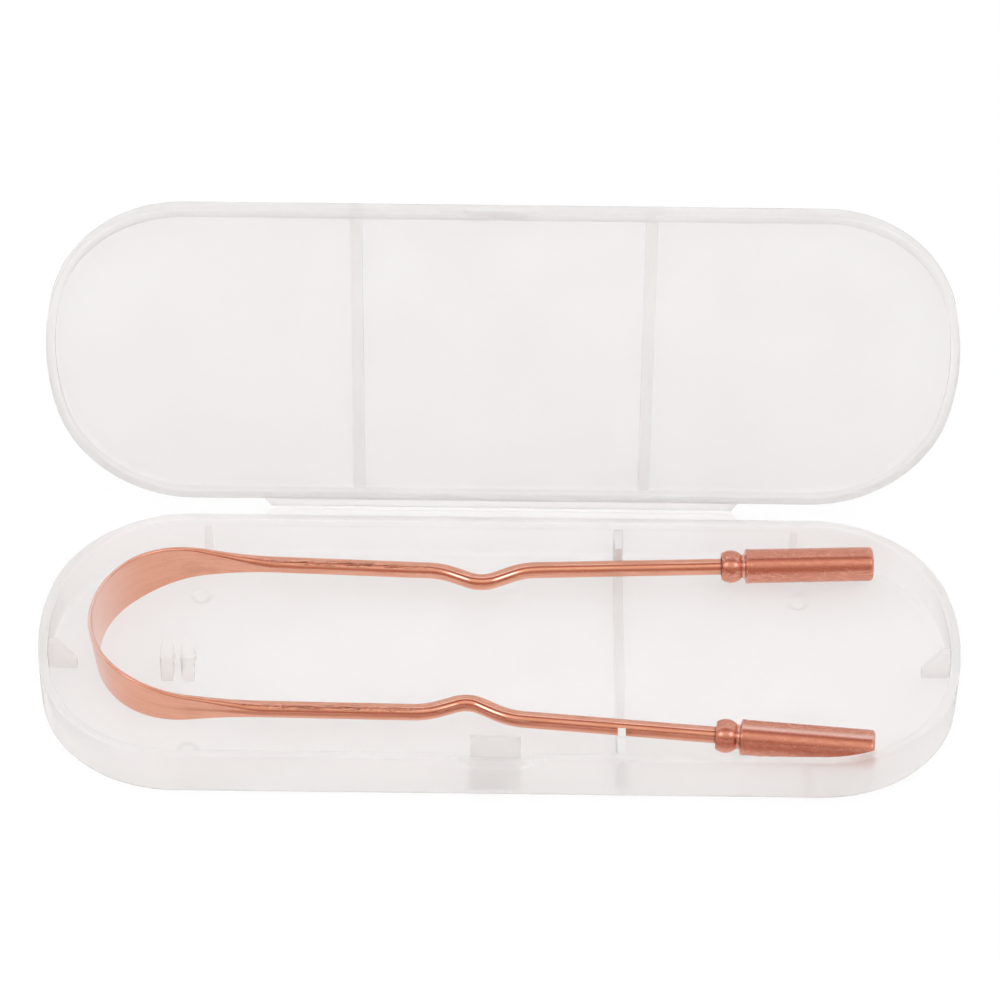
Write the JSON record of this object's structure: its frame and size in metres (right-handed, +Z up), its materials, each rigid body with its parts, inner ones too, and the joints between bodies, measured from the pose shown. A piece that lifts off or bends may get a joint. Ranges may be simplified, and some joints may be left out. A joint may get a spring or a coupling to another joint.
{
  "type": "tongue scraper",
  "caption": "U-shaped copper tongue scraper with a flattened loop and turned handle sleeves, lying in a clear plastic case with a folding hinge and a latch",
  "frame": {"origin": "middle of the tray's underside", "axes": "+X along the case, from the scraper's loop to its handles; +Y from the latch to the hinge; +Z up"},
  "size_m": [0.185, 0.0856, 0.0807],
  "materials": {
    "case_plastic": "translucent natural polypropylene, softly matt",
    "copper": "satin copper with fine lengthwise scratches",
    "copper_sleeve": "turned copper with fine marks"
  },
  "bodies": {
    "tray": {"tray_shell": "case_plastic", "divider_floor_rib": "case_plastic", "front_divider_fin": "case_plastic", "back_divider_fin": "case_plastic", "tray_wall_ribs": "case_plastic", "tray_end_gussets": "case_plastic", "clip_fingers": "case_plastic", "tray_hinge_leaf": "case_plastic", "hinge_film": "case_plastic", "latch_foot": "case_plastic"},
    "lid": {"lid_shell": "case_plastic", "lid_ribs": "case_plastic", "lid_catch": "case_plastic", "lid_hinge_leaf": "case_plastic"},
    "latch": {"latch_tongue": "case_plastic"},
    "scraper": {"scraping_band": "copper"},
    "upper_arm": {"upper_arm_rod": "copper", "upper_handle": "copper_sleeve"},
    "lower_arm": {"lower_arm_rod": "copper", "lower_handle": "copper_sleeve"}
  },
  "joints": [
    {"name": "lid_fold", "type": "hinge", "parent": "tray", "child": "lid", "pos_m": [0, 0.0365, 0.01055], "axis": [-1, 0, 0], "range_deg": [-98.75, 81.25]},
    {"name": "latch_bend", "type": "hinge", "parent": "tray", "child": "latch", "pos_m": [-0.0005, -0.0316, 0.003], "axis": [-1, 0, 0], "range_deg": [0, 5], "stiffness_Nm_per_rad": 0.1},
    {"name": "scraper_lift", "type": "slide", "parent": "tray", "child": "scraper", "axis": [0, 0, 1], "range_m": [0, 0.06]},
    {"name": "upper_arm_flex", "type": "hinge", "parent": "scraper", "child": "upper_arm", "pos_m": [-0.04524, 0.02331, 0.0067], "axis": [0, 0, -1], "range_deg": [0, 4], "stiffness_Nm_per_rad": 0.6},
    {"name": "lower_arm_flex", "type": "hinge", "parent": "scraper", "child": "lower_arm", "pos_m": [-0.04632, -0.01791, 0.0067], "axis": [0, 0, 1], "range_deg": [0, 4], "stiffness_Nm_per_rad": 0.6}
  ]
}
